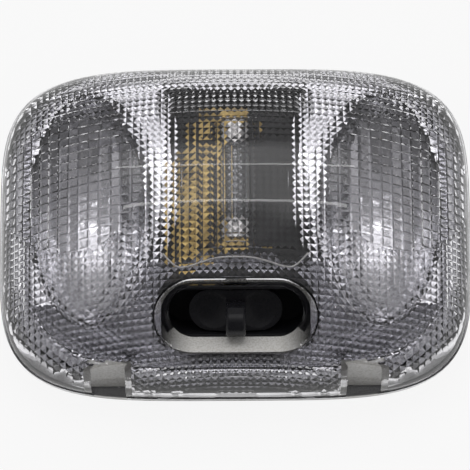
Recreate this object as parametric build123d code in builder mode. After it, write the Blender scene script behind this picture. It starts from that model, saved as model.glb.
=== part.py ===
import math
import os

from build123d import *

# Overall form: the lamp lies on its back, lens up, photo right is +X and photo up is +Y
rim_width = 150.0  # outer width of the lens rim
rim_depth = 108.0  # outer depth of the lens rim
lens_top = 36.0  # lens apex above the headliner plane
flange = 2.0  # base flange, from the headliner plane up
rim_step = 0.3  # the dome stands in from the rim edge
rim_thick = 2.5  # lens rim thickness
lens_wall = 2.3  # lens wall without the prism dents
band = 4.0  # smooth band above the rim
dome_power = 2.2  # section curve of the dome
corner_power = 4.3  # plan curve at the rim, squarer than an ellipse

# Prisms inside the lens
pitch = 3.4
prism = 0.9  # depth of each pyramid dent

# Base tray behind the headliner
back = -10.0  # back of the tray
skin = 2.0  # tray, flange and plinth walls
seat_x = 10.5  # width of the flange that lies on the headliner, at the ends
seat_y = 9.0  # and along the sides
edge_gap = 0.25  # base flange stands in from the lens rim
fence_high = 4.0  # fence on the flange that locates the reflector's skirt
fence_gap = 0.3
fence_thick = 1.6
plinth_x = 19.0
plinth_front = -9.0
plinth_gap = 5.0  # from the plinth to the tray's back wall
socket_x = 16.4  # connector socket, inside
socket_y = 11.2
socket_wall = 1.5
plinth_top = 4.0

# Reflector
mirror_top = 15.0
mirror_thick = 1.4
mirror_gap = 1.0  # clear of the lens
skirt_gap_x = 0.6  # foot of the flared skirt, clear of the lens
skirt_gap_y = 1.6
relief_gap = 0.5  # reflector and deck cut clear of the notch walls
bowl_y = 4.7
bowl_edge = 1.9  # from the bowl to the plate's end
bowl_end = 9.6  # from the bowl to the plate's long sides
waist = 20.0  # half width of the lamp window at its narrowest
strap = 5.6  # between the window and a bowl
window_edge = 2.4  # from the window to the plate's rear edge
window_front = 21.0  # front of the window, behind the switch centre
box_clear = 1.6  # reflector opening, clear of the switch box

# Switch, in a plane tilted to the lens surface
tilt = 28.0
switch_in = 20.5  # switch centre, in from the front of the rim
mouth_x = 58.0
mouth_y = 31.6
mouth_up = 3.0  # the cut starts this far above the lens
well_x = 42.6
well_y = 15.4
well_deep = 7.0
pocket_wall = 2.2
box_x = 48.0
box_y = 19.4
box_in_x = 45.0
box_in_y = 14.4
box_floor = -23.2
deck_thick = 1.4
deck_gap = 1.25  # clear of the lens
box_gap = 0.4  # box below the pocket wall
pivot = -14.5
pivot_r = 1.6
pivot_gap = 0.1
pivot_end = 8.6
pad_x = 29.0
pad_y = 13.0
pad_top = -8.6
pad_edge = -10.4
pad_low = -12.6
fin_x = 6.2
fin_long = 10.4
fin_mid = -1.4
fin_top = 1.5
fin_round = 1.1
stem_end = -19.0
plunger_r = 1.5
plunger_long = 1.8
wire_r = 0.2
bore_r = 1.7
bore_deep = 7.5
dish_r = 14.0
dish_x = 8.9
dish_deep = 1.1
bridge = 0.5

# Tubular lamp with end caps
bulb_y = 12.0
bulb_z = 21.0
glass_r = 5.2
glass_wall = 0.6
neck_r = 3.85
cap_r = 4.25
cap_bore = 3.9
cap_from = 12.6
cap_to = 18.5
tip_to = 20.5
tip_r = 1.7
neck_end = 17.2

# Stamped strips
sheet = 0.8
ground_x = -15.6
ground_w = 5.4
live_x = -9.2
live_w = 4.2
door_x = 9.5
blade_y = 22.0
blade_w = 2.8
ground_blade_x = -14.5
door_blade_x = -3.9
door_w = 4.0
holder_top = 25.6
holder_bore = 2.9
holder_w = 8.0
common_top = -20.7

# Pry notches and lens tabs
notch_end = 35.0  # notch centre, in from the end of the rim
notch_w = 10.8
notch_floor = 4.5
notch_top = 24.0
notch_lip = 4.2  # notch floor, in from the front of the rim
notch_in = 9.3  # notch roof, in from the front of the rim
notch_wall = 2.2
cut_past = 5.0  # the notch cut runs this far past the rim
tab_x = 20.5
tab_w = 8.0
tab_in = 1.8  # tab centre, in from the long edge
tab_thick = 1.2
tab_long = 5.0
slot_gap = 0.3

# Screws and roof clips
screw_x = 33.0
screw_in = 8.4  # in from the front of the reflector plate
screw_r = 1.45
screw_long = 11.0  # under the head
screw_gap = 0.25  # clearance holes in the deck and the reflector
boss_r = 3.5
boss_deep = 10.0  # screw bore in the boss
clip_w = 14.0
clip_thick = 0.6
clip_slot = -2.7

rim_a = rim_width / 2
rim_b = rim_depth / 2
dome_a = rim_a - rim_step
dome_b = rim_b - rim_step
dome_high = lens_top - flange
inner_a = dome_a - lens_wall
inner_b = dome_b - lens_wall
inner_high = dome_high - lens_wall


def plan_share(level):
    return (1 - level**dome_power) ** (1 / dome_power)


edge_r = plan_share(band / inner_high)
mirror_r = plan_share((mirror_top - flange) / inner_high)
mirror_a = inner_a * mirror_r - mirror_gap
mirror_b = inner_b * mirror_r - mirror_gap
deck_r = plan_share((mirror_top + deck_thick - flange) / inner_high)
deck_a = inner_a * deck_r - deck_gap
deck_b = inner_b * deck_r - deck_gap
tray_a = rim_a - seat_x
tray_b = rim_b - seat_y
plinth_back = tray_b - plinth_gap
bowl_r = (mirror_a - bowl_edge - waist - strap) / 2  # bowl half width and depth
bowl_x = mirror_a - bowl_edge - bowl_r
bowl_long = mirror_b - bowl_end  # bowl half length
switch_y = switch_in - rim_b
switch_z = flange + dome_high * plan_share(-switch_y / dome_b)
screw_y = screw_in - mirror_b
notch_x = rim_a - notch_end
tab_y = rim_b - tab_in
skirt_a = inner_a * edge_r - skirt_gap_x
skirt_b = inner_b * edge_r - skirt_gap_y
skirt_share = fence_high / (mirror_top - flange)  # how far up the skirt the fence reaches
fence_a = skirt_a + (mirror_a - skirt_a) * skirt_share - mirror_thick - fence_gap
fence_b = skirt_b + (mirror_b - skirt_b) * skirt_share - mirror_thick - fence_gap
# Where the strips turn up into the switch box, and where the holder leaves meet the cap cones
slope = math.radians(tilt)
leg = (switch_z - plinth_top - sheet / 2) / math.cos(slope)
leg_y = switch_y + leg * math.sin(slope)
door_leg = (switch_z - plinth_top + skin + sheet / 2) / math.cos(slope)
door_leg_y = switch_y + door_leg * math.sin(slope)
holder_at = cap_to + (cap_r - holder_bore) / (cap_r - tip_r) * (tip_to - cap_to) + sheet / 2
holder_rear = bulb_y + holder_at
holder_front = bulb_y - holder_at
os.makedirs("parts", exist_ok=True)


def span(x0, x1, y0, y1):
    with Locations(((x0 + x1) / 2, (y0 + y1) / 2)):
        Rectangle(x1 - x0, y1 - y0)


def power_at(r):
    return dome_power + (corner_power - dome_power) * r**3


def ring(a, b, r=1.0, steps=48):
    m = power_at(r)
    points = []
    for i in range(steps):
        turn = 2 * math.pi * (i + 0.5) / steps
        c, s = math.cos(turn), math.sin(turn)
        k = r / (abs(c / a) ** m + abs(s / b) ** m) ** (1 / m)
        points.append((k * c, k * s))
    return points


def cushion(a, b, r=1.0):
    return Edge.make_spline([Vector(*p) for p in ring(a / r, b / r, r)], periodic=True)


def share(x, y):
    r = max(abs(x) / inner_a, abs(y) / inner_b)
    for _ in range(60):
        m = power_at(min(r, 1.0))
        q = ((abs(x) / inner_a) ** m + (abs(y) / inner_b) ** m) ** (1 / m)
        if abs(q - r) < 1e-10:
            break
        r = (r + q) / 2
    return r


def rise(r):
    return flange + inner_high * (1 - r**dome_power) ** (1 / dome_power)


def notch_points(wall):  # side view of a pry notch with this much wall round it
    foot = notch_lip + wall - rim_b
    past = -rim_b - cut_past
    crown = notch_top + wall / 2
    return (past, 0), (foot, 0), (foot, notch_floor), (notch_in + wall - rim_b, crown), (past, crown)


switch = Plane(
    origin=(0, switch_y, switch_z),
    x_dir=(1, 0, 0),
    z_dir=(0, -math.sin(slope), math.cos(slope)),
)
# Upright planes through the switch: across it, seen from its lower end, and along its pivot
across = Plane(origin=switch.origin, x_dir=(1, 0, 0), z_dir=-switch.y_dir)
along = Plane(origin=switch.origin, x_dir=switch.y_dir, z_dir=(1, 0, 0))

# Lens, smooth outer form: dome, rim, tabs, switch pocket and pry notches
dome_levels = (0, 0.15, 0.35, 0.55, 0.72, 0.85, 0.94, 0.985)
with BuildPart() as shell_out:
    sections = []
    for level in dome_levels:
        r = (1 - level**dome_power) ** (1 / dome_power)
        with BuildSketch(Plane.XY.offset(flange + dome_high * level), mode=Mode.PRIVATE) as cut:
            make_face(cushion(dome_a * r, dome_b * r, r))
        sections.append(cut.sketch.faces()[0])
    loft(sections=sections + [Vertex(0, 0, lens_top)])
    with BuildSketch(Plane.XY.offset(flange)):
        make_face(cushion(rim_a, rim_b))
    extrude(amount=rim_thick)
    with BuildSketch(Plane.XY.offset(flange)):
        with Locations(*[(sx * tab_x, sy * tab_y) for sx in (-1, 1) for sy in (-1, 1)]):
            Rectangle(tab_w, tab_thick)
    extrude(amount=-tab_long)
    with BuildSketch(switch.offset(mouth_up)):
        SlotOverall(mouth_x, mouth_y)
    with BuildSketch(switch.offset(-well_deep)):
        SlotOverall(well_x, well_y)
    loft(mode=Mode.SUBTRACT)
    for x in (-notch_x, notch_x):
        with BuildSketch(Plane.YZ.offset(x)):
            with BuildLine():
                Polyline((-rim_b - cut_past, notch_floor), (notch_lip - rim_b, notch_floor),
                         (notch_in - rim_b, notch_top), (-rim_b - cut_past, notch_top), close=True)
            make_face()
        extrude(amount=notch_w / 2, both=True, mode=Mode.SUBTRACT)

# Prism field: rows and columns at an even pitch along the inner dome, one pyramid dent to each cell
def marks(half):
    found = []
    run, x0, z0 = 0.0, 0.0, inner_high
    goal = pitch / 2
    for i in range(1, 4001):
        x = half * edge_r * math.sin(i / 4000 * math.pi / 2)
        z = inner_high * (1 - (x / half) ** dome_power) ** (1 / dome_power)
        run += math.hypot(x - x0, z - z0)
        x0, z0 = x, z
        if run >= goal:
            found.append(x)
            goal += pitch
    return [-half] + [-x for x in reversed(found)] + found + [half]


columns = marks(inner_a)
rows = marks(inner_b)
shares = [[share(x, y) for y in rows] for x in columns]
crossings = {}


def node(i, j):
    return Vector(columns[i], rows[j], rise(shares[i][j]))


def crossing(p, q):
    key = (min(p, q), max(p, q))
    if key not in crossings:
        ins, out = (p, q) if shares[p[0]][p[1]] < edge_r else (q, p)
        a = Vector(columns[ins[0]], rows[ins[1]])
        b = Vector(columns[out[0]], rows[out[1]])
        for _ in range(40):
            mid = (a + b) / 2
            if share(mid.X, mid.Y) < edge_r:
                a = mid
            else:
                b = mid
        crossings[key] = Vector(a.X, a.Y, flange + band)
    return crossings[key]


facets = []
border = []
for i in range(len(columns) - 1):
    for j in range(len(rows) - 1):
        cell = [(i, j), (i + 1, j), (i + 1, j + 1), (i, j + 1)]
        inside = [shares[p[0]][p[1]] < edge_r for p in cell]
        if all(inside):
            c = [node(*p) for p in cell]
            out = (c[2] - c[0]).cross(c[3] - c[1]).normalized()
            tip = (c[0] + c[1] + c[2] + c[3]) / 4 + out * prism
            facets += [(c[k], c[(k + 1) % 4], tip) for k in range(4)]
        elif any(inside):
            outline = []
            for k in range(4):
                n = (k + 1) % 4
                if inside[k]:
                    outline.append(node(*cell[k]))
                if inside[k] != inside[n]:
                    outline.append(crossing(cell[k], cell[n]))
                    if inside[k]:
                        leave = outline[-1]
                    else:
                        enter = outline[-1]
            border.append((leave, enter))
            facets += [(outline[0], outline[k], outline[k + 1]) for k in range(1, len(outline) - 1)]

after = {(round(a.X, 6), round(a.Y, 6)): b for a, b in border}
loop = [border[0][0]]
while len(loop) < len(border):
    loop.append(after[(round(loop[-1].X, 6), round(loop[-1].Y, 6))])
skins = [Face(Wire.make_polygon(list(f))) for f in facets]
for a, b in border:
    foot_a, foot_b = Vector(a.X, a.Y, flange), Vector(b.X, b.Y, flange)
    skins.append(Face(Wire.make_polygon([a, foot_a, foot_b, b])))
skins.append(Face(Wire.make_polygon([Vector(v.X, v.Y, flange) for v in loop])))

# Walls that the pocket and the notches need inside the lens
with BuildPart() as walls:
    with BuildSketch(switch.offset(mouth_up)):
        SlotOverall(mouth_x + 2 * pocket_wall, mouth_y + 2 * pocket_wall)
    with BuildSketch(switch.offset(-well_deep)):
        SlotOverall(well_x + 2 * pocket_wall, well_y + 2 * pocket_wall)
    loft()
    for x in (-notch_x, notch_x):
        with BuildSketch(Plane.YZ.offset(x)):
            with BuildLine():
                Polyline(*notch_points(notch_wall), close=True)
            make_face()
        extrude(amount=notch_w / 2 + skin, both=True)

# Inner form of the lens: the prism field less those walls
with BuildPart() as shell_in:
    add(Solid(Shell(skins)))
    add(walls.part, mode=Mode.SUBTRACT, clean=False)


def lies_on(face, plane):
    return face.geom_type == GeomType.PLANE and all(
        abs((Vector(v.X, v.Y, v.Z) - plane.origin).dot(plane.z_dir)) < 1e-4 for v in face.vertices()
    )


# The two forms are joined into one solid by the rim face and the open floor of the pocket
rim_plane = Plane.XY.offset(flange)
floor_plane = switch.offset(-well_deep)
out_faces = shell_out.faces()
in_faces = shell_in.faces()
rim_out = [f for f in out_faces if lies_on(f, rim_plane)][0]
rim_in = [f for f in in_faces if lies_on(f, rim_plane)][0]
floor_out = [f for f in out_faces if lies_on(f, floor_plane)][0]
floor_in = [f for f in in_faces if lies_on(f, floor_plane)][0]
with BuildPart() as lens:
    kept = [f for f in out_faces if f not in (rim_out, floor_out)]
    kept += [f for f in in_faces if f not in (rim_in, floor_in)]
    kept.append(Face(rim_out.outer_wire(), list(rim_out.inner_wires()) + [rim_in.outer_wire()]))
    kept.append(Face(floor_in.outer_wire(), [floor_out.outer_wire()]))
    add(Solid(Shell(kept)))
lens.part.label = "lens"
export_step(lens.part, "parts/lens.step", write_pcurves=False)

# Base tray with flange, fence, plinth, connector socket and bosses
with BuildPart() as base:
    with BuildSketch():
        make_face(cushion(rim_a - edge_gap, rim_b - edge_gap))
    extrude(amount=flange)
    with BuildSketch(Plane.XY.offset(back)):
        make_face(cushion(tray_a, tray_b))
    extrude(amount=-back)
    with BuildSketch(Plane.XY.offset(back + skin)):
        make_face(cushion(tray_a - skin, tray_b - skin))
    extrude(amount=flange - back - skin, mode=Mode.SUBTRACT)
    with BuildSketch(Plane.XY.offset(flange)):
        make_face(cushion(fence_a, fence_b, mirror_r))
        make_face(cushion(fence_a - fence_thick, fence_b - fence_thick, mirror_r), mode=Mode.SUBTRACT)
    extrude(amount=fence_high)
    plinth_mid = (plinth_front + plinth_back) / 2
    plinth_long = plinth_back - plinth_front
    with BuildSketch(Plane.XY.offset(back)):
        with Locations((0, plinth_mid)):
            Rectangle(2 * plinth_x, plinth_long)
    extrude(amount=plinth_top - back)
    with BuildSketch(Plane.XY.offset(back)):
        with Locations((0, plinth_mid)):
            Rectangle(2 * (plinth_x - skin), plinth_long - 2 * skin)
    extrude(amount=plinth_top - skin - back, mode=Mode.SUBTRACT)
    with BuildSketch(Plane.XY.offset(plinth_top - skin)):
        with Locations((live_x, blade_y)):
            Rectangle(socket_x + 2 * socket_wall, socket_y + 2 * socket_wall)
            Rectangle(socket_x, socket_y, mode=Mode.SUBTRACT)
    extrude(amount=back + 1 - plinth_top + skin)
    with BuildSketch(Plane.XY.offset(plinth_top)):
        with Locations((ground_blade_x, blade_y), (live_x, blade_y)):
            Rectangle(blade_w + 0.2, sheet + 0.2)
    extrude(amount=-skin, mode=Mode.SUBTRACT)
    with BuildSketch(Plane.XY.offset(plinth_top - skin)):
        with Locations((live_x + socket_x / 2, blade_y)):
            Rectangle(3 * socket_wall, blade_w + 1)
        with Locations((door_x, plinth_front)):
            Rectangle(door_w + 0.4, 3 * skin)
    extrude(amount=-sheet - 0.2, mode=Mode.SUBTRACT)
    with BuildSketch(Plane.XY.offset(back + skin)):
        with Locations((-screw_x, screw_y), (screw_x, screw_y)):
            Circle(boss_r)
    extrude(amount=mirror_top - mirror_thick - back - skin)
    with BuildSketch(Plane.XY.offset(mirror_top - mirror_thick)):
        with Locations((-screw_x, screw_y), (screw_x, screw_y)):
            Circle(screw_r + 0.05)
    extrude(amount=-boss_deep, mode=Mode.SUBTRACT)
    with BuildSketch():
        with Locations(*[(sx * tab_x, sy * tab_y) for sx in (-1, 1) for sy in (-1, 1)]):
            Rectangle(tab_w + 2 * slot_gap, tab_thick + 2 * slot_gap)
    extrude(amount=flange, mode=Mode.SUBTRACT)
    with BuildSketch(Plane.XY.offset(clip_slot - clip_thick / 2)):
        with Locations((-tray_a, 0), (tray_a, 0)):
            Rectangle(4 * skin, clip_w + 0.2)
    extrude(amount=clip_thick, mode=Mode.SUBTRACT)
base.part.label = "base"
export_step(base.part, "parts/base.step")

# Room for the lens's notch walls, cut from the reflector and the deck
with BuildPart() as relief:
    for x in (-notch_x, notch_x):
        with BuildSketch(Plane.YZ.offset(x)):
            with BuildLine():
                Polyline(*notch_points(notch_wall + relief_gap), close=True)
            make_face()
        extrude(amount=notch_w / 2 + skin + relief_gap, both=True)

# Reflector: plate with a flared skirt, two bowls, the window and the switch opening
with BuildPart() as reflector:
    for thin, mode in ((0, Mode.ADD), (mirror_thick, Mode.SUBTRACT)):
        with BuildSketch(Plane.XY.offset(flange)):
            make_face(cushion(skirt_a - thin, skirt_b - thin, edge_r))
        with BuildSketch(Plane.XY.offset(mirror_top - thin)):
            make_face(cushion(mirror_a - thin, mirror_b - thin, mirror_r))
        loft(mode=mode)
    for grow, mode in ((mirror_thick, Mode.ADD), (0, Mode.SUBTRACT)):
        for x in (-bowl_x, bowl_x):
            with BuildSketch(Plane.XY.offset(mirror_top)):
                with Locations((x, bowl_y)):
                    Ellipse(bowl_r + grow, bowl_long + grow)
                with Locations((x - rim_a, bowl_y)):
                    Rectangle(rim_width, 2 * rim_depth, mode=Mode.SUBTRACT)
            revolve(axis=Axis((x, bowl_y, mirror_top), (0, 1, 0)), revolution_arc=180, mode=mode)
    with BuildSketch(Plane.XY.offset(mirror_top)):
        with BuildLine():
            window_low = switch_y + window_front
            side = ((waist + 3.5, mirror_b - window_edge), (waist + 0.8, 30.0), (waist, 18.0), (waist + 0.6, 6.0),
                    (waist + 3.2, -4.0), (box_x / 2 + box_clear, window_low))
            Spline(*side)
            Spline(*[(-x, y) for x, y in side])
            Line((-side[0][0], side[0][1]), side[0])
            Line((-side[-1][0], side[-1][1]), side[-1])
        make_face()
        span(-box_x / 2 - box_clear, box_x / 2 + box_clear, switch_y - 5, window_low + 0.5)
    extrude(amount=-mirror_thick, mode=Mode.SUBTRACT)
    with BuildSketch(Plane.XY.offset(mirror_top)):
        with Locations((-screw_x, screw_y), (screw_x, screw_y)):
            Circle(screw_r + screw_gap)
    extrude(amount=-mirror_thick, mode=Mode.SUBTRACT)
    add(relief.part, mode=Mode.SUBTRACT)
reflector.part.label = "reflector"
export_step(reflector.part, "parts/reflector.step")

# Switch deck: black plate round the bowls with the tilted switch box
with BuildPart() as switch_deck:
    with BuildSketch(Plane.XY.offset(mirror_top)):
        make_face(cushion(deck_a, deck_b, deck_r))
        with BuildLine():
            half = ((0.0, 23.5), (9.0, 22.7), (17.0, 19.3), (23.5, 21.9), (30.0, 21.0))
            half = [(x, switch_y + y) for x, y in half]
            rear = [(-x, y) for x, y in reversed(half[1:])] + half
            Spline(*rear)
            wing = switch_y + 7.5
            Polyline(rear[-1], (bowl_x, wing), (rim_a, wing), (rim_a, rim_b), (-rim_a, rim_b), (-rim_a, wing),
                     (-bowl_x, wing), rear[0])
        make_face(mode=Mode.SUBTRACT)
        with Locations((-bowl_x, bowl_y), (bowl_x, bowl_y)):
            Ellipse(bowl_r + 0.3, bowl_long + 0.3, mode=Mode.SUBTRACT)
    extrude(amount=deck_thick)
    with BuildSketch(switch.offset(box_floor - skin)):
        RectangleRounded(box_x, box_y, 4)
    extrude(amount=skin - box_floor - well_deep - box_gap)
    with BuildSketch(switch.offset(box_floor)):
        SlotOverall(box_in_x, box_in_y)
    extrude(amount=30, mode=Mode.SUBTRACT)
    with BuildSketch(across):
        with Locations((0, pivot)):
            Circle(pivot_r + pivot_gap)
    extrude(amount=pivot_end + 0.3, both=True, mode=Mode.SUBTRACT)
    with BuildSketch(switch.offset(box_floor)):
        with Locations((-door_x, 0), (0, 0), (door_x, 0)):
            Rectangle(blade_w + 0.2, sheet + 0.2)
    extrude(amount=-skin, mode=Mode.SUBTRACT)
    with BuildSketch(Plane.XY.offset(mirror_top)):
        with Locations((-screw_x, screw_y), (screw_x, screw_y)):
            Circle(screw_r + screw_gap)
    extrude(amount=deck_thick, mode=Mode.SUBTRACT)
    add(relief.part, mode=Mode.SUBTRACT)
switch_deck.part.label = "switch_deck"
export_step(switch_deck.part, "parts/switch_deck.step")

# Rocker: two dished pads, centre fin, stem with a bore, and two pivots
with BuildPart() as rocker:
    with BuildSketch(across):
        with BuildLine():
            Polyline((-pad_x / 2, pad_low), (-pad_x / 2, pad_edge), (-fin_x / 2, pad_top), (fin_x / 2, pad_top),
                     (pad_x / 2, pad_edge), (pad_x / 2, pad_low), close=True)
        make_face()
    extrude(amount=pad_y / 2, both=True)
    with BuildSketch(switch.offset(pad_low - 1)):
        SlotOverall(pad_x, pad_y)
    extrude(amount=8, mode=Mode.INTERSECT)
    dish_z = (pad_top + pad_edge) / 2 + dish_r - dish_deep
    with Locations(switch.location):
        with Locations((-dish_x, 0, dish_z), (dish_x, 0, dish_z)):
            Sphere(dish_r, mode=Mode.SUBTRACT)
    with BuildSketch(along):
        with BuildLine():
            fin_back, fin_front = fin_mid + fin_long / 2, fin_mid - fin_long / 2
            Polyline((fin_back, pad_low), (fin_back - 0.9, fin_top - 3), (fin_back - 2.4, fin_top - 1.3))
            ThreePointArc((fin_back - 2.4, fin_top - 1.3), (fin_mid - 1.2, fin_top), (fin_front, fin_top - 4.1))
            Polyline((fin_front, fin_top - 4.1), (fin_front, pad_low), (fin_back, pad_low))
        make_face()
    extrude(amount=fin_x / 2, both=True)
    crown = [e for e in rocker.edges() if switch.to_local_coords(e.center()).Z > fin_top - 4
             and abs(e.center().X) > fin_x / 2 - 0.01]
    fillet(crown, fin_round)
    with BuildSketch(switch.offset(stem_end)):
        Rectangle(8, 9)
    extrude(amount=pad_low - stem_end + 0.5)
    with BuildSketch(across):
        with Locations((0, pivot)):
            Circle(pivot_r)
    extrude(amount=pivot_end, both=True)
    with BuildSketch(switch.offset(stem_end)):
        Circle(bore_r)
    extrude(amount=bore_deep, mode=Mode.SUBTRACT)
rocker.part.label = "rocker"
export_step(rocker.part, "parts/rocker.step")

# Detent plunger and its spring in the stem
with BuildPart() as plunger:
    with BuildSketch(switch.offset(stem_end)):
        Circle(plunger_r)
    extrude(amount=plunger_long)
    with Locations(switch.offset(stem_end).location):
        Sphere(plunger_r - 0.02)
plunger.part.label = "plunger"
export_step(plunger.part, "parts/plunger.step")

with BuildPart() as plunger_spring:
    coil_from = switch.offset(stem_end + plunger_long + wire_r + 0.02)
    coil_long = bore_deep - plunger_long - 2 * wire_r - 0.04
    with BuildLine() as coil:
        Helix(coil_long / 6, coil_long, bore_r - 2 * wire_r, center=coil_from.origin, direction=switch.z_dir)
    with BuildSketch(Plane(origin=coil.line @ 0, z_dir=coil.line % 0)):
        Circle(wire_r)
    sweep()
plunger_spring.part.label = "plunger_spring"
export_step(plunger_spring.part, "parts/plunger_spring.step")

# Brass bridge under the stem
with BuildPart() as contact_bridge:
    with BuildSketch(switch.offset(stem_end)):
        Rectangle(2 * door_x + 2, 5.2)
        Circle(bore_r + 0.2, mode=Mode.SUBTRACT)
    extrude(amount=-bridge)
    with BuildSketch(switch.offset(stem_end - bridge)):
        with Locations((-door_x, 0), (door_x, 0)):
            Circle(1.2)
    extrude(amount=-0.5)
contact_bridge.part.label = "contact_bridge"
export_step(contact_bridge.part, "parts/contact_bridge.step")

# Stamped strips
with BuildPart() as strip_ground:
    with BuildSketch(Plane.XY.offset(plinth_top)):
        span(ground_x - ground_w / 2, ground_x + ground_w / 2, leg_y - 1.5, blade_y + 1.5)
        span(ground_x - ground_w / 2, blade_w / 2 - door_x, leg_y - 1.5, leg_y + 1.5)
    extrude(amount=sheet)
    with BuildSketch(Plane.XY.offset(plinth_top + sheet)):
        with Locations((ground_blade_x, blade_y)):
            Rectangle(blade_w, sheet)
    extrude(amount=-12)
    with BuildSketch(switch.offset(box_floor)):
        with Locations((-door_x, 0)):
            Rectangle(4, 4)
    extrude(amount=1.0)
    with BuildSketch(switch.offset(box_floor)):
        with Locations((-door_x, 0)):
            Rectangle(blade_w, sheet)
    extrude(amount=-leg - box_floor)
strip_ground.part.label = "strip_ground"
export_step(strip_ground.part, "parts/strip_ground.step")

with BuildPart() as strip_live:
    with BuildSketch(Plane.XY.offset(plinth_top)):
        span(live_x - live_w / 2, live_x + live_w / 2, plinth_front + 2, plinth_back - 3)
        span(live_x - live_w / 2, holder_w / 2, holder_rear - sheet / 2, plinth_back - 3)
    extrude(amount=sheet)
    with BuildSketch(Plane.XY.offset(plinth_top + sheet)):
        with Locations((live_x, blade_y)):
            Rectangle(blade_w, sheet)
    extrude(amount=-12)
    with BuildSketch(Plane.XZ.offset(-holder_rear)):
        with Locations((0, (plinth_top + holder_top) / 2)):
            Rectangle(holder_w, holder_top - plinth_top)
        with Locations((0, bulb_z)):
            Circle(holder_bore, mode=Mode.SUBTRACT)
    extrude(amount=sheet / 2, both=True)
    with BuildSketch(Plane.XY.offset(holder_top)):
        span(-holder_w / 2, holder_w / 2, holder_rear, holder_rear + 1.6)
    extrude(amount=-sheet)
strip_live.part.label = "strip_live"
export_step(strip_live.part, "parts/strip_live.step")

with BuildPart() as strip_lamp:
    with BuildSketch(Plane.XY.offset(plinth_top)):
        span(-2.5, 2.5, leg_y - 1.5, holder_front + sheet / 2)
    extrude(amount=sheet)
    with BuildSketch(Plane.XZ.offset(-holder_front)):
        with Locations((0, (plinth_top + holder_top) / 2)):
            Rectangle(holder_w, holder_top - plinth_top)
        with Locations((0, bulb_z)):
            Circle(holder_bore, mode=Mode.SUBTRACT)
    extrude(amount=sheet / 2, both=True)
    with BuildSketch(Plane.XY.offset(holder_top)):
        span(-holder_w / 2, holder_w / 2, holder_front - 1.6, holder_front)
    extrude(amount=-sheet)
    with BuildSketch(switch.offset(common_top)):
        Rectangle(6, 4.4)
    extrude(amount=-sheet)
    with BuildSketch(switch.offset(common_top)):
        Rectangle(blade_w, sheet)
    extrude(amount=-leg - common_top)
strip_lamp.part.label = "strip_lamp"
export_step(strip_lamp.part, "parts/strip_lamp.step")

with BuildPart() as strip_door:
    with BuildSketch(Plane.XY.offset(plinth_top - skin)):
        span(door_x - door_w / 2, door_x + door_w / 2, door_leg_y - 1.5, blade_y + blade_w / 2)
        span(door_blade_x - blade_w / 2, door_x + door_w / 2, blade_y - blade_w / 2, blade_y + blade_w / 2)
    extrude(amount=-sheet)
    with BuildSketch(Plane.XY.offset(plinth_top - skin)):
        with Locations((door_blade_x, blade_y)):
            Rectangle(blade_w, sheet)
    extrude(amount=-9.2)
    with BuildSketch(switch.offset(box_floor)):
        with Locations((door_x, 0)):
            Rectangle(4, 4)
    extrude(amount=1.0)
    with BuildSketch(switch.offset(box_floor)):
        with Locations((door_x, 0)):
            Rectangle(blade_w, sheet)
    extrude(amount=-door_leg - box_floor)
strip_door.part.label = "strip_door"
export_step(strip_door.part, "parts/strip_door.step")

# Tubular lamp: glass, filament and two end caps, turned about its own axis
lamp_plane = Plane(origin=(0, bulb_y, bulb_z), x_dir=(0, 1, 0), z_dir=(1, 0, 0))
lamp_axis = Axis((0, bulb_y, bulb_z), (0, 1, 0))
with BuildPart() as bulb_glass:
    with BuildSketch(lamp_plane):
        with BuildLine():
            Polyline((-neck_end, 0), (-neck_end, neck_r), (-cap_from, neck_r), (-11.0, glass_r), (11.0, glass_r),
                     (cap_from, neck_r), (neck_end, neck_r), (neck_end, 0), close=True)
        make_face()
    revolve(axis=lamp_axis)
    with BuildSketch(lamp_plane):
        with BuildLine():
            Polyline((-neck_end + 1, 0), (-neck_end + 1, neck_r - glass_wall), (-cap_from, neck_r - glass_wall),
                     (-10.8, glass_r - glass_wall), (10.8, glass_r - glass_wall), (cap_from, neck_r - glass_wall),
                     (neck_end - 1, neck_r - glass_wall), (neck_end - 1, 0), close=True)
        make_face()
    revolve(axis=lamp_axis, mode=Mode.SUBTRACT)
bulb_glass.part.label = "bulb_glass"
export_step(bulb_glass.part, "parts/bulb_glass.step")

with BuildPart() as bulb_filament:
    with BuildSketch(lamp_plane):
        with BuildLine():
            Polyline((-neck_end + 1, 0), (-neck_end + 1, 0.25), (-4, 0.25), (-4, 0.7), (4, 0.7), (4, 0.25),
                     (neck_end - 1, 0.25), (neck_end - 1, 0), close=True)
        make_face()
    revolve(axis=lamp_axis)
bulb_filament.part.label = "bulb_filament"
export_step(bulb_filament.part, "parts/bulb_filament.step")

with BuildPart() as bulb_cap_rear:
    with BuildSketch(lamp_plane):
        with BuildLine():
            Polyline((cap_from + 0.2, cap_bore), (cap_from + 0.2, cap_r), (cap_to, cap_r), (tip_to, tip_r), (tip_to, 0),
                     (neck_end, 0), (neck_end, cap_bore), close=True)
        make_face()
    revolve(axis=lamp_axis)
bulb_cap_rear.part.label = "bulb_cap_rear"
export_step(bulb_cap_rear.part, "parts/bulb_cap_rear.step")

with BuildPart() as bulb_cap_front:
    add(bulb_cap_rear.part)
    mirror(about=Plane.XZ.offset(-bulb_y), mode=Mode.REPLACE)
bulb_cap_front.part.label = "bulb_cap_front"
export_step(bulb_cap_front.part, "parts/bulb_cap_front.step")

# Roof clips, one bent strip on each end of the tray
with BuildPart() as roof_clip_right:
    with BuildSketch(Plane.XZ):
        with BuildLine() as bend:
            Polyline((tray_a - 3.4, clip_slot), (tray_a + 0.35, clip_slot), (tray_a + 0.35, back + 0.6),
                     (tray_a + 4.0, back + 4.0), (tray_a + 2.4, clip_slot - 1.6))
        trace(bend.line, line_width=clip_thick)
    extrude(amount=clip_w / 2, both=True)
roof_clip_right.part.label = "roof_clip_right"
export_step(roof_clip_right.part, "parts/roof_clip_right.step")

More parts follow.
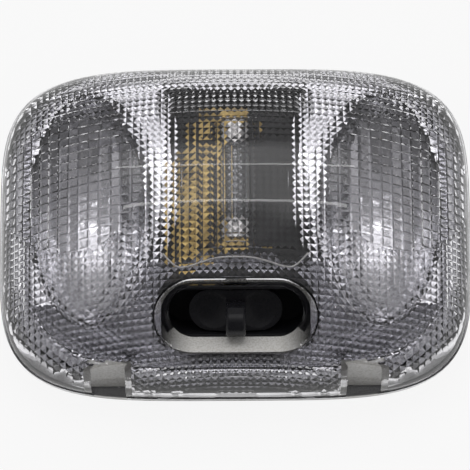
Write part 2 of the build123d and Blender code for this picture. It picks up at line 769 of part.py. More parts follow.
with BuildPart() as roof_clip_left:
    add(roof_clip_right.part)
    mirror(about=Plane.YZ, mode=Mode.REPLACE)
roof_clip_left.part.label = "roof_clip_left"
export_step(roof_clip_left.part, "parts/roof_clip_left.step")

# Deck screws
with BuildPart() as screw_right:
    with Locations((screw_x, screw_y, mirror_top + deck_thick)):
        Cylinder(2.8, 1.8, align=(Align.CENTER, Align.CENTER, Align.MIN))
        Cylinder(screw_r, screw_long, align=(Align.CENTER, Align.CENTER, Align.MAX))
    with Locations((screw_x, screw_y, mirror_top + deck_thick + 1.8)):
        Box(3.4, 0.8, 1.6, mode=Mode.SUBTRACT)
        Box(0.8, 3.4, 1.6, mode=Mode.SUBTRACT)
screw_right.part.label = "screw_right"
export_step(screw_right.part, "parts/screw_right.step")

with BuildPart() as screw_left:
    add(screw_right.part)
    mirror(about=Plane.YZ, mode=Mode.REPLACE)
screw_left.part.label = "screw_left"
export_step(screw_left.part, "parts/screw_left.step")
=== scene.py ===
import math
import bmesh
import bpy
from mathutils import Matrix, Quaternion, Vector


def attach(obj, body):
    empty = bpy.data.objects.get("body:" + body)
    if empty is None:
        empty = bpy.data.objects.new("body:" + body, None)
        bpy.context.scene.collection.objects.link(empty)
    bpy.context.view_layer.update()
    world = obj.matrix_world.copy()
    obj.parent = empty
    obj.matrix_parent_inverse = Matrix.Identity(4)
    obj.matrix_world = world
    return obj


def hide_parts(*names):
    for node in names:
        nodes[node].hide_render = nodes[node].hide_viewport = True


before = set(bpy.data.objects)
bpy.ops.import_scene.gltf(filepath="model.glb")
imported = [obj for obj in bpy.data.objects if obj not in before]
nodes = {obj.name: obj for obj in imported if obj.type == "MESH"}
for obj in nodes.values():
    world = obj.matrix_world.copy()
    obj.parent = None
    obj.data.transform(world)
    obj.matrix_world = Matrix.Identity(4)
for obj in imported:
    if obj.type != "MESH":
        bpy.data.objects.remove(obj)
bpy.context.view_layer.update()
looks = {}
print("frame loaded:", len(nodes), "pieces")


class Wire:  # a socket that can be used in sums
    def __init__(self, sheet, socket):
        self.sheet, self.socket = sheet, socket

    def of(self, name):  # another output of the same node
        return Wire(self.sheet, self.socket.node.outputs[name])

    def maths(self, operation, first, second):
        return self.sheet.node("ShaderNodeMath", {"operation": operation}, {0: first, 1: second})

    def __add__(self, other):
        return self.maths("ADD", self, other)

    def __radd__(self, other):
        return self.maths("ADD", other, self)

    def __sub__(self, other):
        return self.maths("SUBTRACT", self, other)

    def __rsub__(self, other):
        return self.maths("SUBTRACT", other, self)

    def __mul__(self, other):
        return self.maths("MULTIPLY", self, other)

    def __rmul__(self, other):
        return self.maths("MULTIPLY", other, self)


class Sheet:  # the node sheet of one finish
    def __init__(self, owner):
        owner.use_nodes = True
        self.tree = owner.node_tree
        self.tree.nodes.clear()

    def node(self, kind, settings=None, sockets=None, out=0):
        made = self.tree.nodes.new(kind)
        for name, value in (settings or {}).items():
            setattr(made, name, value)
        for name, value in (sockets or {}).items():
            if isinstance(value, Wire):
                self.tree.links.new(value.socket, made.inputs[name])
            else:
                made.inputs[name].default_value = value
        return Wire(self, made.outputs[out]) if made.outputs else made

    def spots(self, scale, detail=2.0, stretch=(1, 1, 1), rough=0.5):  # soft noise from 0 to 1
        place = self.node("ShaderNodeTexCoord", out="Object")
        place = self.node("ShaderNodeMapping", None, {"Vector": place, "Scale": stretch})
        return self.node("ShaderNodeTexNoise", None,
                         {"Vector": place, "Scale": scale, "Detail": detail, "Roughness": rough}, "Fac")

    def axes(self, source="ShaderNodeTexCoord", out="Object"):  # X of a vector; of() gives its Y and Z
        return self.node("ShaderNodeSeparateXYZ", None, {0: self.node(source, out=out)}, "X")

    def ease(self, value, low, high):  # 0 below low, 1 above high, smooth between
        return self.node("ShaderNodeMapRange", {"interpolation_type": "SMOOTHSTEP"},
                         {"Value": value, "From Min": low, "From Max": high}, "Result")

    def between(self, share, low, high):  # a colour between two
        return self.node("ShaderNodeMix", {"data_type": "RGBA"}, {0: share, 6: low, 7: high}, 2)

    def bump(self, height, strength, depth):
        sockets = {"Height": height, "Strength": strength, "Distance": depth}
        return self.node("ShaderNodeBump", None, sockets)

    def skin(self, sockets):
        return self.node("ShaderNodeBsdfPrincipled", None, sockets)

    def layer(self, share, under, over):
        return self.node("ShaderNodeMixShader", None, {0: share, 1: under, 2: over})

    def close(self, shader):
        self.node("ShaderNodeOutputMaterial", None, {"Surface": shader})


def newFinish(name):
    looks[name] = bpy.data.materials.new(name)
    return Sheet(looks[name])


def grey(level):
    return (level, level, level, 1)


# in every finish: rough is the lowest roughness and its spread, bump its strength and depth
clearCfg = {  # clear moulded plastic with slow waves
    "low": (0.865, 0.86, 0.885, 1), "high": (0.905, 0.9, 0.92, 1), "tintScale": 30, "index": 1.5,
    "waveScale": 55, "rough": (0.004, 0.01), "bump": (0.03, 0.0006),
}


def clearSkin(s):
    c = clearCfg
    wave = s.spots(c["waveScale"], 1.0)
    return s.skin({
        "Base Color": s.between(s.spots(c["tintScale"]), c["low"], c["high"]), "Transmission Weight": 1.0,
        "IOR": c["index"], "Roughness": wave * c["rough"][1] + c["rough"][0],
        "Normal": s.bump(wave, *c["bump"])})


def clearLens():
    s = newFinish("clearLens")
    s.close(clearSkin(s))


frostCfg = {  # etched plastic: the pocket's slope, fading to its round ends, the notches and the rear wall
    "low": (0.8, 0.785, 0.74, 1), "high": (0.99, 0.98, 0.95, 1), "scale": 1600, "contrast": (0.35, 0.65),
    "rough": (0.2, 0.2), "bump": (0.3, 0.0002), "fade": (0.012, 0.024), "notch": (0.029, 0.031),
    "notchEtch": 0.55, "rear": (-0.034, -0.028), "rearClear": 0.75,
}


def frostedLens():
    c, s = frostCfg, newFinish("frostedLens")
    etch = s.spots(c["scale"], rough=0.6)
    pale = s.skin({
        "Base Color": s.between(s.ease(etch, *c["contrast"]), c["low"], c["high"]), "IOR": clearCfg["index"],
        "Roughness": etch * c["rough"][1] + c["rough"][0], "Normal": s.bump(etch, *c["bump"])})
    x = s.axes()
    side = s.node("ShaderNodeMath", {"operation": "ABSOLUTE"}, {0: x})
    bare = s.ease(side, *c["fade"]) * (1 - s.ease(side, *c["notch"]) * c["notchEtch"])
    bare = bare + s.ease(x.of("Y"), *c["rear"]) * (c["rearClear"] - bare)
    s.close(s.layer(bare, pale, clearSkin(s)))


hazeCfg = {"scale": 140, "rough": (0.06, 0.05), "dimples": 420, "bump": (0.04, 0.0003)}
mirrorCfg = {  # vacuum metal, with painted shade: a darker colour on the skirt outside the plate, which dims its reflection
    "low": (0.70, 0.70, 0.715, 1), "high": (0.80, 0.80, 0.81, 1), "thin": (0.25, 0.25, 0.265, 1),
    "plate": (0.0632, 0.0456), "edge": (1.0, 1.12),
}
deckCfg = {  # black moulding, dark metal on its level top face only
    "low": (0.125, 0.125, 0.137, 1), "high": (0.175, 0.175, 0.187, 1), "level": (0.93, 0.99),
    "height": (0.0135, 0.0145),
}


def mirrorSkin(s, cfg):
    h = hazeCfg
    haze = s.spots(h["scale"], 3.0)
    colour = s.between(haze, cfg["low"], cfg["high"])
    if "plate" in cfg:
        x = s.axes()
        u, v = x * (1 / cfg["plate"][0]), x.of("Y") * (1 / cfg["plate"][1])
        far = u * u * u * u + v * v * v * v
        # painted shade: outside the plate the metal takes the darker skirt colour
        colour = s.between(s.ease(far, *cfg["edge"]), colour, cfg["thin"])
    return s.skin({
        "Base Color": colour, "Metallic": 1.0, "Roughness": haze * h["rough"][1] + h["rough"][0],
        "Normal": s.bump(s.spots(h["dimples"], 1.0), *h["bump"])})


def mirrorMetal(name, cfg):
    s = newFinish(name)
    s.close(mirrorSkin(s, cfg))


blackCfg = {  # matt and satin: lowest roughness, grain and gloss
    "low": (0.008, 0.008, 0.010, 1), "high": (0.019, 0.019, 0.022, 1), "dustScale": 90, "spread": 0.16,
    "bump": (0.14, 0.0003), "matt": (0.42, 900, 0.25), "satin": (0.2, 500, 0.2),
}


def blackSkin(s, rough, grain, gloss):
    c = blackCfg
    fine = s.spots(grain, 3.0, rough=0.65)
    dust = s.spots(c["dustScale"], 5.0, rough=0.7)
    return s.skin({
        "Base Color": s.between(dust, c["low"], c["high"]), "Roughness": fine * c["spread"] + rough,
        "Specular IOR Level": gloss, "Normal": s.bump(fine, *c["bump"])})


def blackPlastic(name, grade):
    s = newFinish(name)
    s.close(blackSkin(s, *grade))


def platedDeck():
    s = newFinish("platedDeck")
    upward, high = s.axes("ShaderNodeNewGeometry", "Normal").of("Z"), s.axes().of("Z")
    plated = s.ease(upward, *deckCfg["level"]) * s.ease(high, *deckCfg["height"])
    s.close(s.layer(plated, blackSkin(s, *blackCfg["matt"]), mirrorSkin(s, deckCfg)))


sheetCfg = {"grainScale": 260, "stainScale": 110, "contrast": (0.36, 0.64), "spread": 0.18,
            "bump": (0.05, 0.0002)}
metals = {  # darkest and lightest colour, lowest roughness, stretch of the grain
    "stripBrass": ((0.22, 0.15, 0.045, 1), (0.66, 0.48, 0.17, 1), 0.24, (1, 0.15, 1)),
    "zincSteel": ((0.5, 0.51, 0.52, 1), (0.66, 0.67, 0.68, 1), 0.28, (1, 1, 1)),
    "springSteel": ((0.26, 0.27, 0.3, 1), (0.4, 0.41, 0.43, 1), 0.3, (1, 0.2, 1)),
    "capNickel": ((0.6, 0.59, 0.56, 1), (0.78, 0.77, 0.74, 1), 0.16, (1, 1, 1)),
    "filamentWire": ((0.28, 0.28, 0.3, 1), (0.42, 0.42, 0.44, 1), 0.35, (1, 1, 1)),
}


def sheetMetal(name, low, high, rough, stretch):
    c, s = sheetCfg, newFinish(name)
    grain = s.spots(c["grainScale"], 3.0, stretch)
    stain = s.ease(s.spots(c["stainScale"], 4.0), *c["contrast"])
    s.close(s.skin({
        "Base Color": s.between(stain, low, high), "Metallic": 1.0, "Roughness": grain * c["spread"] + rough,
        "Normal": s.bump(grain, *c["bump"])}))


beadHighlightCfg = {  # painted highlight: a near-white metal bead that stands in for the highlight line along the window's edge, with a soft sheen
    "low": (0.86, 0.83, 0.82, 1), "high": (0.97, 0.95, 0.94, 1), "scale": 700, "rough": (0.2, 0.2),
    "bump": (0.1, 0.0002),
}


def highlightBead():
    c, s = beadHighlightCfg, newFinish("highlightBead")
    scuff = s.spots(c["scale"], 3.0)
    s.close(s.skin({
        "Base Color": s.between(scuff, c["low"], c["high"]), "Metallic": 1.0,
        "Roughness": scuff * c["rough"][1] + c["rough"][0], "Normal": s.bump(scuff, *c["bump"])}))


glassCfg = {"low": (0.93, 0.94, 0.94, 1), "high": (0.98, 0.985, 0.985, 1), "tintScale": 60, "index": 1.47,
            "roughScale": 50, "spread": 0.01}


def lampGlass():
    c, s = glassCfg, newFinish("lampGlass")
    s.close(s.skin({
        "Base Color": s.between(s.spots(c["tintScale"]), c["low"], c["high"]), "Transmission Weight": 1.0,
        "IOR": c["index"], "Roughness": s.spots(c["roughScale"]) * c["spread"]}))


clearLens()
frostedLens()
mirrorMetal("mirrorMetal", mirrorCfg)
mirrorMetal("darkPlate", deckCfg)
platedDeck()
blackPlastic("blackMatt", blackCfg["matt"])
blackPlastic("blackSatin", blackCfg["satin"])
for name, metal in metals.items():
    sheetMetal(name, *metal)
highlightBead()
lampGlass()

wear = {
    "clearLens": ["lens"], "mirrorMetal": ["reflector"], "platedDeck": ["switch_deck"],
    "darkPlate": ["screw_left", "screw_right"], "blackMatt": ["base"], "blackSatin": ["rocker"],
    "stripBrass": ["strip_live", "strip_ground", "strip_door", "strip_lamp", "contact_bridge"],
    "springSteel": ["plunger_spring", "roof_clip_left", "roof_clip_right"], "zincSteel": ["plunger"],
    "capNickel": ["bulb_cap_front", "bulb_cap_rear"], "lampGlass": ["bulb_glass"],
    "filamentWire": ["bulb_filament"],
}
for look, pieces in wear.items():
    for piece in pieces:
        mesh = nodes[piece].data
        mesh.materials.clear()
        mesh.materials.append(looks[look])
print("finishes:", len(looks))

# lens: the CAD lens again, with the real prism pitch and the rounded cells over the bowls
lensCfg = {
    "rim": (0.075, 0.054), "step": 0.0003, "seat": 0.002, "top": 0.036, "rimTop": 0.0045,
    "lift": 0.00004,  # a hair of air over the flange
    "rounding": ((0.0, 0.0002), (0.00006, 0.00006), (0.0002, 0.0)),  # inset and drop at the rim's top edge
    "wall": 0.0023, "band": 0.004, "section": 2.2, "corner": 4.3, "sides": 192, "levels": 48, "crease": 11,
}
prismCfg = {"pitch": (0.0022, 0.0022), "dent": 0.00034, "sag": 0.008}  # rows drop by sag towards both ends
pillowCfg = {
    "pitch": (0.0034, 0.0029), "swell": 0.00032, "frame": 0.18, "centre": (0.051, 0.0104), "radius": 0.022,
    "sides": 72, "height": (-0.01, 0.05),
}
notchCfg = {
    "x": 0.04, "wide": 0.0108, "floor": 0.0045, "top": 0.024, "lip": 0.0042, "roof": 0.0093, "wall": 0.0022,
    "cheeks": 0.004, "past": 0.005,
}
pocketCfg = {
    "tilt": 28.0, "at": (0.0, -0.0335, 0.02987296), "mouth": (0.0565, 0.0288), "back": 0.0014, "up": 0.003,
    "well": (0.0411, 0.0154), "deep": 0.007, "wall": 0.0022, "through": 0.0006,
}
etchCfg = {"slope": 0.00015, "foot": 0.0001, "notch": 0.00001, "roof": 0.0001, "level": 0.95, "cheek": 0.9}


def planPower(r):  # the plan goes from oval at the crown to rounded corners at the rim
    return lensCfg["section"] + (lensCfg["corner"] - lensCfg["section"]) * r**3


def planRing(a, b, power):
    points = []
    for i in range(lensCfg["sides"]):
        turn = 2 * math.pi * (i + 0.5) / lensCfg["sides"]
        c, s = math.cos(turn), math.sin(turn)
        k = (abs(c / a) ** power + abs(s / b) ** power) ** (-1 / power)
        points.append((k * c, k * s))
    return points


def keepMesh(name, bm):
    mesh = bpy.data.meshes.new(name)
    bm.normal_update()
    bm.to_mesh(mesh)
    bm.free()
    made = bpy.data.objects.new(name, mesh)
    bpy.context.scene.collection.objects.link(made)
    return made


def stackMesh(name, rings, tip=None):  # closed skin over a stack of equal rings, bottom first
    bm = bmesh.new()
    rows = [[bm.verts.new(p) for p in ring] for ring in rings]
    count = len(rows[0])
    bm.faces.new(list(reversed(rows[0])))
    for low, high in zip(rows, rows[1:]):
        for i in range(count):
            bm.faces.new((low[i], low[(i + 1) % count], high[(i + 1) % count], high[i]))
    if tip:
        top = bm.verts.new(tip)
        for i in range(count):
            bm.faces.new((rows[-1][i], rows[-1][(i + 1) % count], top))
    else:
        bm.faces.new(rows[-1])
    return keepMesh(name, bm)


def finalMesh(made):  # the mesh after modifiers or bevel
    bpy.context.view_layer.update()
    return bpy.data.meshes.new_from_object(made.evaluated_get(bpy.context.evaluated_depsgraph_get()))


def carve(body, tool, operation="DIFFERENCE"):
    mod = body.modifiers.new("carve", "BOOLEAN")
    mod.operation, mod.object, mod.solver = operation, tool, "MANIFOLD"
    shaped = finalMesh(body)
    body.modifiers.clear()
    old, body.data = body.data, shaped
    bpy.data.meshes.remove(old)
    bpy.data.objects.remove(tool)


def switchPoint(x, y, z):  # from the tilted plane of the switch to the lamp's frame
    t = math.radians(pocketCfg["tilt"])
    ox, oy, oz = pocketCfg["at"]
    return (ox + x, oy + y * math.cos(t) - z * math.sin(t), oz + y * math.sin(t) + z * math.cos(t))


def slotRing(long, short, back, z, turns=24):
    r = short / 2
    points = []
    for side, start in ((1, -90), (-1, 90)):
        for i in range(turns + 1):
            a = math.radians(start + 180 * i / turns)
            points.append(switchPoint(side * (long / 2 - r) + r * math.cos(a), back + r * math.sin(a), z))
    return points


def pocketBlock(name, grow, extra):
    c = pocketCfg
    rise = c["up"] + c["deep"]
    slope = [(m - w) / rise for m, w in zip(c["mouth"], c["well"])]
    rings = []
    for z in (-c["deep"] - extra, -c["deep"] / 2, 0.0, c["up"]):
        high = max(0.0, z + c["deep"])
        long, short = [w + s * high + 2 * grow for w, s in zip(c["well"], slope)]
        rings.append(slotRing(long, short, c["back"] * high / rise, z))
    return stackMesh(name, rings)


def notchBlock(name, x, profile, wide):
    left = [(x - wide / 2, y, z) for y, z in profile]
    right = [(x + wide / 2, y, z) for y, z in profile]
    return stackMesh(name, [left, right])


def outerShell():
    c = lensCfg
    rimA, rimB = c["rim"]
    domeA, domeB, high = rimA - c["step"], rimB - c["step"], c["top"] - c["seat"]
    rings = []
    foot = c["rimTop"] - c["seat"] - c["lift"]
    for inset, drop in ((0.0, foot), *c["rounding"]):
        z = c["rimTop"] - drop
        rings.append([(x, y, z) for x, y in planRing(rimA - inset, rimB - inset, c["corner"])])
    lowest = math.asin((c["rimTop"] - c["seat"]) / high)
    for i in range(c["levels"]):
        level = math.sin(lowest + (math.pi / 2 - lowest) * i / c["levels"])
        r = (1 - level ** c["section"]) ** (1 / c["section"])
        plan = planRing(domeA * r, domeB * r, planPower(r))
        rings.append([(x, y, c["seat"] + high * level) for x, y in plan])
    return stackMesh("lensShell", rings, (0, 0, c["top"]))


class PrismField:  # the lens cavity: one cell after another on the inner dome, closed below
    def __init__(self, pitch, makeCell):
        c = lensCfg
        self.a, self.b = [half - c["step"] - c["wall"] for half in c["rim"]]
        self.high, self.q = c["top"] - c["seat"] - c["wall"], c["section"]
        self.edge = (1 - (c["band"] / self.high) ** self.q) ** (1 / self.q)
        self.columns, self.rows = self.marks(self.a, pitch[0]), self.marks(self.b, pitch[1])
        spare = int(prismCfg["sag"] / pitch[1] * 2) + 2  # rows behind, which come in where the others drop
        self.rows += [self.b + pitch[1] / 2 * (k + 1) for k in range(spare)]
        self.shares = [[self.share(*self.place((i, j))) for j in range(len(self.rows))]
                       for i in range(len(self.columns))]
        self.bm = bmesh.new()
        self.known, self.cut, self.border = {}, {}, {}
        for i in range(len(self.columns) - 1):
            for j in range(len(self.rows) - 1):
                cell = [(i, j), (i + 1, j), (i + 1, j + 1), (i, j + 1)]
                inside = [self.shares[p][n] < self.edge for p, n in cell]
                if all(inside):
                    makeCell(self.bm, [self.corner(p) for p in cell])
                elif any(inside):
                    self.edgeCell(cell, inside)
        self.closeBelow()

    def place(self, p):  # a cell corner in plan
        x = self.columns[p[0]]
        return x, self.rows[p[1]] - prismCfg["sag"] * (x / self.a) ** 2

    def share(self, x, y, tries=60, near=1e-10):  # how far out a point lies, 1 at the foot of the inner dome
        r = max(abs(x) / self.a, abs(y) / self.b)
        for _ in range(tries):
            m = planPower(min(r, 1.0))
            new = ((abs(x) / self.a) ** m + (abs(y) / self.b) ** m) ** (1 / m)
            if abs(new - r) < near:
                break
            r = (r + new) / 2
        return r

    def marks(self, half, step, count=6000):  # even steps along the arch
        found, run, x0, z0, goal = [], 0.0, 0.0, self.high, step / 2
        for i in range(1, count + 1):
            x = half * self.edge * math.sin(i / count * math.pi / 2)
            z = self.high * (1 - (x / half) ** self.q) ** (1 / self.q)
            run += math.hypot(x - x0, z - z0)
            x0, z0 = x, z
            if run >= goal:
                found.append(x)
                goal += step
        return [-half] + [-x for x in reversed(found)] + found + [half]

    def corner(self, p):
        if p not in self.known:
            z = lensCfg["seat"] + self.high * (1 - self.shares[p[0]][p[1]] ** self.q) ** (1 / self.q)
            self.known[p] = self.bm.verts.new((*self.place(p), z))
        return self.known[p]

    def crossing(self, p, n, halvings=40):  # where a cell's side meets the smooth band
        key = (min(p, n), max(p, n))
        if key not in self.cut:
            ins, out = (p, n) if self.shares[p[0]][p[1]] < self.edge else (n, p)
            u, v = Vector(self.place(ins)), Vector(self.place(out))
            for _ in range(halvings):
                mid = (u + v) / 2
                if self.share(mid.x, mid.y) < self.edge:
                    u = mid
                else:
                    v = mid
            self.cut[key] = self.bm.verts.new((u.x, u.y, lensCfg["seat"] + lensCfg["band"]))
        return self.cut[key]

    def edgeCell(self, cell, inside):
        outline = []
        for k in range(4):
            n = (k + 1) % 4
            if inside[k]:
                outline.append(self.corner(cell[k]))
            if inside[k] != inside[n]:
                outline.append(self.crossing(cell[k], cell[n]))
                if inside[k]:
                    leave = outline[-1]
                else:
                    enter = outline[-1]
        self.border[leave] = enter
        self.bm.faces.new(outline)

    def closeBelow(self, past=0.001):
        loop = [next(iter(self.border))]
        while len(loop) < len(self.border):
            loop.append(self.border[loop[-1]])
        feet = [self.bm.verts.new((v.co.x, v.co.y, lensCfg["seat"] - past)) for v in loop]
        for k in range(len(loop)):
            n = (k + 1) % len(loop)
            self.bm.faces.new((loop[k], feet[k], feet[n], loop[n]))
        self.bm.faces.new(feet)
        bmesh.ops.recalc_face_normals(self.bm, faces=self.bm.faces)

    def keep(self, name):
        return keepMesh(name, self.bm)


def cellOut(v):
    return (v[2].co - v[0].co).cross(v[3].co - v[1].co).normalized()


def pyramidCell(bm, v):
    tip = bm.verts.new((v[0].co + v[1].co + v[2].co + v[3].co) / 4 + cellOut(v) * prismCfg["dent"])
    for k in range(4):
        bm.faces.new((v[k], v[(k + 1) % 4], tip))


def pillowCell(bm, v):  # a cell with a flat crown and a rounded frame that swells into the cavity
    out = cellOut(v)
    steps = (pillowCfg["frame"], 0.5, 1 - pillowCfg["frame"])
    grid = {}
    for p, s in enumerate(steps, 1):
        for n, t in enumerate(steps, 1):
            flat = (v[0].co * (1 - s) + v[1].co * s) * (1 - t) + (v[3].co * (1 - s) + v[2].co * s) * t
            rise = (1 - (2 * s - 1) ** 4) * (1 - (2 * t - 1) ** 4)
            grid[p, n] = bm.verts.new(flat - out * pillowCfg["swell"] * rise)
    for p in (1, 2):
        for n in (1, 2):
            bm.faces.new((grid[p, n], grid[p + 1, n], grid[p + 1, n + 1], grid[p, n + 1]))
    around = [(1, 1), (2, 1), (3, 1), (3, 2), (3, 3), (2, 3), (1, 3), (1, 2), (1, 1)]
    for k in range(4):
        a, b = v[k], v[(k + 1) % 4]
        first, mid, last = [grid[spot] for spot in around[2 * k:2 * k + 3]]
        bm.faces.new((a, b, mid))
        bm.faces.new((a, mid, first))
        bm.faces.new((b, last, mid))


def pillowZone(side):
    (x, y), r, count = pillowCfg["centre"], pillowCfg["radius"], pillowCfg["sides"]
    turns = [2 * math.pi * (i + 0.5) / count for i in range(count)]
    plan = [(side * x + r * math.cos(t), y + r * math.sin(t)) for t in turns]
    return stackMesh("pillowZone", [[(px, py, z) for px, py in plan] for z in pillowCfg["height"]])


def lensCavity():
    cavity = PrismField(prismCfg["pitch"], pyramidCell).keep("prismField")
    for side in (-1, 1):
        pillows = PrismField(pillowCfg["pitch"], pillowCell).keep("pillowField")
        carve(pillows, pillowZone(side), "INTERSECT")
        carve(cavity, pillowZone(side))
        carve(cavity, pillows, "UNION")
    return cavity


def frosted(face):  # on the pocket's sloping wall or in a notch
    c, n, near = pocketCfg, notchCfg, etchCfg
    t = math.radians(c["tilt"])
    x, y, z = face.center
    py, pz = y - c["at"][1], z - c["at"][2]
    flat = py * math.cos(t) + pz * math.sin(t)
    high = pz * math.cos(t) - py * math.sin(t) + c["deep"]
    share = high / (c["up"] + c["deep"])
    long, short = [w + (m - w) * share for m, w in zip(c["mouth"], c["well"])]
    reach = math.hypot(max(0.0, abs(x) - (long - short) / 2), flat - c["back"] * share)
    if abs(reach - short / 2) < near["slope"] and high > near["foot"]:
        return True
    across = abs(abs(x) - n["x"]) < n["wide"] / 2 + near["notch"]
    ahead = y < n["roof"] - lensCfg["rim"][1] + near["roof"]
    return across and ahead and face.normal.z < near["level"] and abs(face.normal.x) < near["cheek"]


def buildLens():
    rimB, n = lensCfg["rim"][1], notchCfg
    past = -rimB - n["past"]
    shell = outerShell()
    cavity = lensCavity()
    carve(cavity, pocketBlock("pocketWall", pocketCfg["wall"], 0.0))
    carve(shell, pocketBlock("pocketHole", 0.0, pocketCfg["through"]))
    lip, roof, crown = n["lip"] - rimB, n["roof"] - rimB, n["top"] + n["wall"] / 2
    foot, eave = n["lip"] + n["wall"] - rimB, n["roof"] + n["wall"] - rimB
    wall = [(past, 0.0), (foot, 0.0), (foot, n["floor"]), (eave, crown), (past, crown)]
    hole = [(past, n["floor"]), (lip, n["floor"]), (roof, n["top"]), (past, n["top"])]
    for x in (-n["x"], n["x"]):
        carve(cavity, notchBlock("notchWall", x, wall, n["wide"] + n["cheeks"]))
        carve(shell, notchBlock("notchHole", x, hole, n["wide"]))
    carve(shell, cavity)
    mesh = shell.data
    mesh.shade_smooth()
    mesh.set_sharp_from_angle(angle=math.radians(lensCfg["crease"]))
    mesh.materials.clear()
    mesh.materials.append(looks["clearLens"])
    mesh.materials.append(looks["frostedLens"])
    for face in mesh.polygons:
        face.material_index = int(frosted(face))
    print("lens faces:", len(mesh.polygons))
    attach(shell, "lamp_body")
    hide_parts("lens")


buildLens()

# painted highlight: a near-white wavy bead under the lens, along the window's lower edge, laid there to give
# its highlight line
beadCfg = {
    "radius": 0.0003, "sink": 0.0001, "turns": 3, "steps": 10,
    "half": ((0.0, -0.0148), (0.0057, -0.0151), (0.0094, -0.0160), (0.0154, -0.0177), (0.0175, -0.0177),
             (0.0206, -0.0154), (0.0223, -0.0135)),
}


def innerHeight(x, y):  # the inner dome near the crown, without its cells
    c = lensCfg
    a, b = [half - c["step"] - c["wall"] for half in c["rim"]]
    share = (abs(x) / a) ** c["section"] + (abs(y) / b) ** c["section"]
    return c["seat"] + (c["top"] - c["seat"] - c["wall"]) * (1 - share) ** (1 / c["section"])


def buildBead():
    c = beadCfg
    line = bpy.data.curves.new("lensBeadLine", "CURVE")
    line.dimensions, line.bevel_depth, line.use_fill_caps = "3D", c["radius"], True
    line.bevel_resolution, line.resolution_u = c["turns"], c["steps"]
    plan = [(-x, y) for x, y in reversed(c["half"][1:])] + list(c["half"])
    run = line.splines.new("BEZIER")
    run.bezier_points.add(len(plan) - 1)
    for point, (x, y) in zip(run.bezier_points, plan):
        point.co = (x, y, innerHeight(x, y) + c["sink"])
        point.handle_left_type = point.handle_right_type = "AUTO"
    tube = bpy.data.objects.new("lensBeadLine", line)
    bpy.context.scene.collection.objects.link(tube)
    mesh = finalMesh(tube)
    bpy.data.objects.remove(tube)
    bead = bpy.data.objects.new("lensBead", mesh)
    bpy.context.scene.collection.objects.link(bead)
    mesh.materials.clear()
    # painted highlight: the bead's near-white metal stands in for the edge's highlight
    mesh.materials.append(looks["highlightBead"])
    mesh.shade_smooth()
    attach(bead, "lamp_body")


buildBead()
print("bead laid")

# room: pale floor, soft tent, two thin strip lights, camera at the photo's angle
roomCfg = {"floor": -0.0101, "half": 4.0, "pale": 0.85, "shown": 0.9}
skyCfg = {  # each band's lowest angle, and its light from the front, the sides and the rear
    "bands": (
        (-90, (0.1, 0.6, 0.35)), (25, (0.15, 0.5, 0.5)), (50, (0.1, 0.35, 1.8)), (75, (0.4, 0.45, 0.7)),
    ),
    "blend": 4, "turn": (0.55, 0.85), "tint": (1.0, 0.995, 1.0, 1), "tiny": 0.0001,
}
panelCfg = {  # place, size and power
    "stripNear": ((0.0, 0.292, 1.019), (1.0, 0.014), 0.19),
    "stripFar": ((0.0, 0.53, 0.918), (1.0, 0.014), 0.19),
}
camCfg = {
    "elevation": 76.0, "distance": 0.9, "focal": 2836.96, "image": 470, "look": (0.0, 0.0, 0.010),
    "shift": (-0.0006, -0.01456), "roll": -0.325, "clip": (0.01, 20),
}


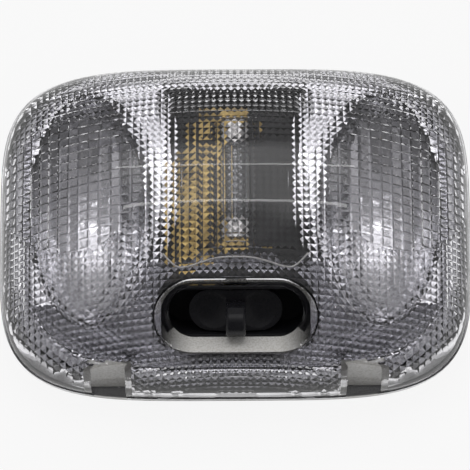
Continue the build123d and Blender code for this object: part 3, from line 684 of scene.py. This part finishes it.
def buildRoom():  # brightness by height over the floor, and by front, side and rear
    world = bpy.data.worlds.new("room")
    bpy.context.scene.world = world
    s = Sheet(world)
    x = s.axes(out="Generated")
    y, z = x.of("Y"), x.of("Z")
    out = s.node("ShaderNodeMath", {"operation": "SQRT"}, {0: x * x + y * y + skyCfg["tiny"]})
    bearing = s.node("ShaderNodeMath", {"operation": "DIVIDE"}, {0: y, 1: out})
    near, full = skyCfg["turn"]
    front, rear = 1 - s.ease(bearing, -full, -near), s.ease(bearing, near, full)
    glow = None
    for low, (ahead, beside, behind) in skyCfg["bands"]:
        level = ahead * front + behind * rear + beside * (1 - front - rear)
        if glow is None:
            glow = level
        else:
            ends = [math.sin(math.radians(low + turn)) for turn in (-skyCfg["blend"], skyCfg["blend"])]
            glow = glow + s.ease(z, *ends) * (level - glow)
    sky = s.node("ShaderNodeBackground", None, {"Color": skyCfg["tint"], "Strength": glow})
    s.node("ShaderNodeOutputWorld", None, {"Surface": sky})


def buildFloor():
    bm = bmesh.new()
    bmesh.ops.create_grid(bm, x_segments=1, y_segments=1, size=roomCfg["half"])
    floor = keepMesh("floor", bm)
    floor.location.z = roomCfg["floor"]
    s = newFinish("paleFloor")
    path = s.node("ShaderNodeLightPath", out="Is Camera Ray")
    seen = s.ease(path + path.of("Is Glossy Ray") + path.of("Is Transmission Ray"), 0.0, 1.0)
    pale = s.node("ShaderNodeBsdfDiffuse", None, {"Color": grey(roomCfg["pale"])})
    white = s.node("ShaderNodeEmission", None, {"Color": grey(1.0)})
    s.close(s.layer(seen * roomCfg["shown"], pale, white))
    floor.data.materials.append(looks["paleFloor"])


def buildPanel(name, at, size, watts):
    data = bpy.data.lights.new(name, "AREA")
    data.shape, data.size, data.size_y, data.energy = "RECTANGLE", size[0], size[1], watts
    made = bpy.data.objects.new(name, data)
    bpy.context.scene.collection.objects.link(made)
    made.location = at
    made.rotation_mode = "QUATERNION"
    made.rotation_quaternion = (-Vector(at)).to_track_quat("-Z", "Y")


def buildCamera():
    c = camCfg
    camera = bpy.data.objects.new("camera", bpy.data.cameras.new("camera"))
    bpy.context.scene.collection.objects.link(camera)
    rise = math.radians(c["elevation"])
    forward = Vector((0, math.cos(rise), -math.sin(rise)))
    camera.location = Vector(c["look"]) - forward * c["distance"]
    camera.rotation_mode = "QUATERNION"
    turn = Quaternion((0, 0, 1), math.radians(c["roll"]))
    camera.rotation_quaternion = forward.to_track_quat("-Z", "Y") @ turn
    camera.data.lens = c["focal"] / c["image"] * camera.data.sensor_width
    camera.data.shift_x, camera.data.shift_y = c["shift"]
    camera.data.clip_start, camera.data.clip_end = c["clip"]
    bpy.context.scene.camera = camera


buildRoom()
buildFloor()
for name, (at, size, watts) in panelCfg.items():
    buildPanel(name, at, size, watts)
buildCamera()
bpy.context.scene.view_settings.view_transform = "Standard"
print("room set")
